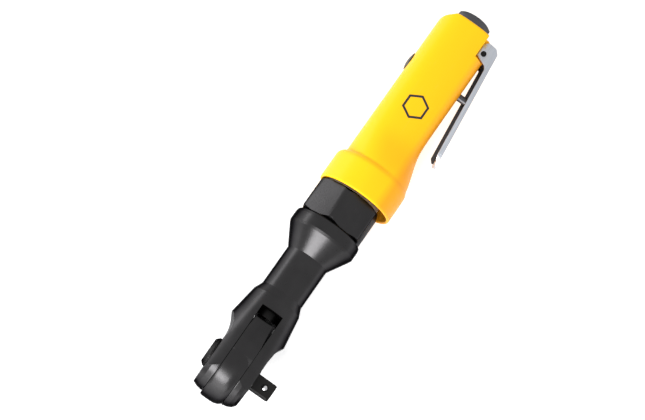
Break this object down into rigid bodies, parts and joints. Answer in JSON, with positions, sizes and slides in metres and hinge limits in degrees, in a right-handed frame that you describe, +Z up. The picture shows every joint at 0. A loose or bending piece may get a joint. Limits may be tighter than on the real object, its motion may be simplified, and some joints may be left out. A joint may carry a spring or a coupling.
{
  "type": "air ratchet wrench",
  "caption": "Inline pneumatic ratchet wrench: square drive and reverse knob on a forked black head, hex clamp nut, yellow grip with a side throttle lever and a threaded air inlet.",
  "frame": {"origin": "centre of the square drive's root plane, on the drive axis", "axes": "+X along the tool from the head to the air inlet, -Y out along the square drive and toward the throttle lever, +Y toward the reverse knob, +Z up with the tool lying on its side; the tool's long axis is at y = 15.0 mm"},
  "size_m": [0.2682, 0.051, 0.0461],
  "materials": {
    "black_oxide_steel": "satin black oxide on forged steel",
    "dark_drive_steel": "black phosphate with rubbed edges",
    "ground_steel": "ground and oiled",
    "bearing_ball_steel": "polished",
    "spring_steel": "oil blackened wire and strip",
    "bronze": "machined",
    "cast_iron": "honed",
    "vane_composite": "cloth-filled phenolic",
    "housing_aluminium": "die cast, machined bores",
    "yellow_jacket": "satin moulded",
    "lever_nickel": "nickel plated sheet",
    "gunmetal_steel": "gunmetal",
    "black_plastic": "moulded, fine grain",
    "seal_rubber": "nitrile",
    "filter_mesh": "perforated",
    "felt": "pressed felt"
  },
  "bodies": {
    "housing": {"head_housing": "black_oxide_steel", "thrust_washer": "spring_steel", "wave_washer": "spring_steel", "retaining_ring": "spring_steel", "crank_bush": "bronze", "crank_bearing_outer": "ground_steel", "ring_gear": "ground_steel", "gear_washer": "spring_steel", "front_end_plate": "cast_iron", "front_bearing_outer": "ground_steel", "cylinder": "cast_iron", "cylinder_pin": "ground_steel", "rear_end_plate": "cast_iron", "rear_bearing_outer": "ground_steel", "motor_housing": "housing_aluminium", "grip_jacket": "yellow_jacket", "clamp_nut": "black_oxide_steel", "exhaust_muffler": "felt", "push_pin_seal": "seal_rubber", "valve_seat": "bronze", "valve_spring": "spring_steel", "inlet_screen": "filter_mesh", "inlet_bushing": "gunmetal_steel", "inlet_seal": "seal_rubber", "regulator_pin": "ground_steel", "lever_pin": "dark_drive_steel"},
    "yoke": {"yoke": "black_oxide_steel"},
    "anvil": {"anvil": "dark_drive_steel", "pawl_pin": "ground_steel", "detent_spring": "spring_steel"},
    "detent": {"detent_ball": "bearing_ball_steel"},
    "pawl": {"pawl": "ground_steel"},
    "reverse": {"reverse_knob": "dark_drive_steel", "pawl_plunger": "ground_steel", "pawl_spring": "spring_steel"},
    "crank": {"crankshaft": "dark_drive_steel", "crank_bearing_inner": "ground_steel", "planet_carrier": "ground_steel", "planet_pins": "ground_steel"},
    "bushing": {"drive_bushing": "dark_drive_steel"},
    "crank_balls": {"crank_bearing_balls": "bearing_ball_steel"},
    "planet_1": {"planet_gear_1": "ground_steel"},
    "planet_2": {"planet_gear_2": "ground_steel"},
    "planet_3": {"planet_gear_3": "ground_steel"},
    "rotor": {"rotor": "ground_steel", "rotor_vanes": "vane_composite", "front_bearing_inner": "ground_steel", "rear_bearing_inner": "ground_steel"},
    "front_balls": {"front_bearing_balls": "bearing_ball_steel"},
    "rear_balls": {"rear_bearing_balls": "bearing_ball_steel"},
    "lever": {"throttle_lever": "lever_nickel"},
    "push_pin": {"push_pin": "gunmetal_steel"},
    "valve": {"tilt_valve": "gunmetal_steel"},
    "regulator": {"regulator_knob": "black_plastic", "regulator_seal": "seal_rubber"}
  },
  "joints": [
    {"name": "yoke_swing", "type": "hinge", "parent": "housing", "child": "yoke", "pos_m": [0, 0.015, 0], "axis": [0, 1, 0], "range_deg": [-5.2, 5.2]},
    {"name": "anvil_turn", "type": "hinge", "parent": "yoke", "child": "anvil", "pos_m": [0, 0.015, 0], "axis": [0, -1, 0], "continuous": true},
    {"name": "detent_press", "type": "slide", "parent": "anvil", "child": "detent", "axis": [0, 0, -1], "range_m": [0, 0.0008], "stiffness_N_per_m": 3000, "springref_m": -0.001, "deforming": ["detent_spring"]},
    {"name": "reverse_turn", "type": "hinge", "parent": "anvil", "child": "reverse", "pos_m": [0, 0.015, 0], "axis": [0, 1, 0], "range_deg": [0, 60]},
    {"name": "pawl_rock", "type": "hinge", "parent": "anvil", "child": "pawl", "pos_m": [-0.0092, 0.015, 0], "axis": [0, 1, 0], "range_deg": [-10, 0]},
    {"name": "crank_spin", "type": "hinge", "parent": "housing", "child": "crank", "pos_m": [0.06, 0.015, 0], "axis": [1, 0, 0], "continuous": true},
    {"name": "bushing_turn", "type": "hinge", "parent": "crank", "child": "bushing", "pos_m": [0.026, 0.01745, 0], "axis": [1, 0, 0], "continuous": true},
    {"name": "crank_bearing_roll", "type": "hinge", "parent": "housing", "child": "crank_balls", "pos_m": [0.082, 0.015, 0], "axis": [1, 0, 0], "continuous": true},
    {"name": "planet_spin_1", "type": "hinge", "parent": "crank", "child": "planet_1", "pos_m": [0.092, 0.015, 0.0096], "axis": [1, 0, 0], "continuous": true},
    {"name": "planet_spin_2", "type": "hinge", "parent": "crank", "child": "planet_2", "pos_m": [0.092, 0.00669, -0.0048], "axis": [1, 0, 0], "continuous": true},
    {"name": "planet_spin_3", "type": "hinge", "parent": "crank", "child": "planet_3", "pos_m": [0.092, 0.02331, -0.0048], "axis": [1, 0, 0], "continuous": true},
    {"name": "rotor_spin", "type": "hinge", "parent": "housing", "child": "rotor", "pos_m": [0.132, 0.015, 0], "axis": [1, 0, 0], "continuous": true},
    {"name": "front_bearing_roll", "type": "hinge", "parent": "housing", "child": "front_balls", "pos_m": [0.102, 0.015, 0], "axis": [1, 0, 0], "continuous": true},
    {"name": "rear_bearing_roll", "type": "hinge", "parent": "housing", "child": "rear_balls", "pos_m": [0.1629, 0.015, 0], "axis": [1, 0, 0], "continuous": true},
    {"name": "lever_press", "type": "hinge", "parent": "housing", "child": "lever", "pos_m": [0.23, 0.00025, 0], "axis": [0, 0, -1], "range_deg": [0, 5.8], "stiffness_Nm_per_rad": 4, "springref_deg": -3.44},
    {"name": "push_slide", "type": "slide", "parent": "housing", "child": "push_pin", "axis": [0, 1, 0], "range_m": [0, 0.0029]},
    {"name": "valve_tilt", "type": "hinge", "parent": "housing", "child": "valve", "pos_m": [0.2221, 0.0096, 0], "axis": [0, 0, -1], "range_deg": [0, 8.3], "deforming": ["valve_spring"]},
    {"name": "regulator_turn", "type": "hinge", "parent": "housing", "child": "regulator", "pos_m": [0.203, 0.032, 0], "axis": [0, 1, 0], "range_deg": [-90, 90]}
  ],
  "couplings": [
    {"joint": "pawl_rock", "follows": "reverse_turn", "ratio": -0.16667},
    {"joint": "bushing_turn", "follows": "crank_spin", "ratio": -1},
    {"joint": "crank_bearing_roll", "follows": "crank_spin", "ratio": 0.40278},
    {"joint": "planet_spin_1", "follows": "crank_spin", "ratio": -3},
    {"joint": "planet_spin_2", "follows": "crank_spin", "ratio": -3},
    {"joint": "planet_spin_3", "follows": "crank_spin", "ratio": -3},
    {"joint": "rotor_spin", "follows": "crank_spin", "ratio": 4},
    {"joint": "front_bearing_roll", "follows": "crank_spin", "ratio": 1.7091},
    {"joint": "rear_bearing_roll", "follows": "crank_spin", "ratio": 1.5429},
    {"joint": "push_slide", "follows": "lever_press", "m_per_rad": 0.0278},
    {"joint": "valve_tilt", "follows": "lever_press", "ratio": 1.405}
  ]
}
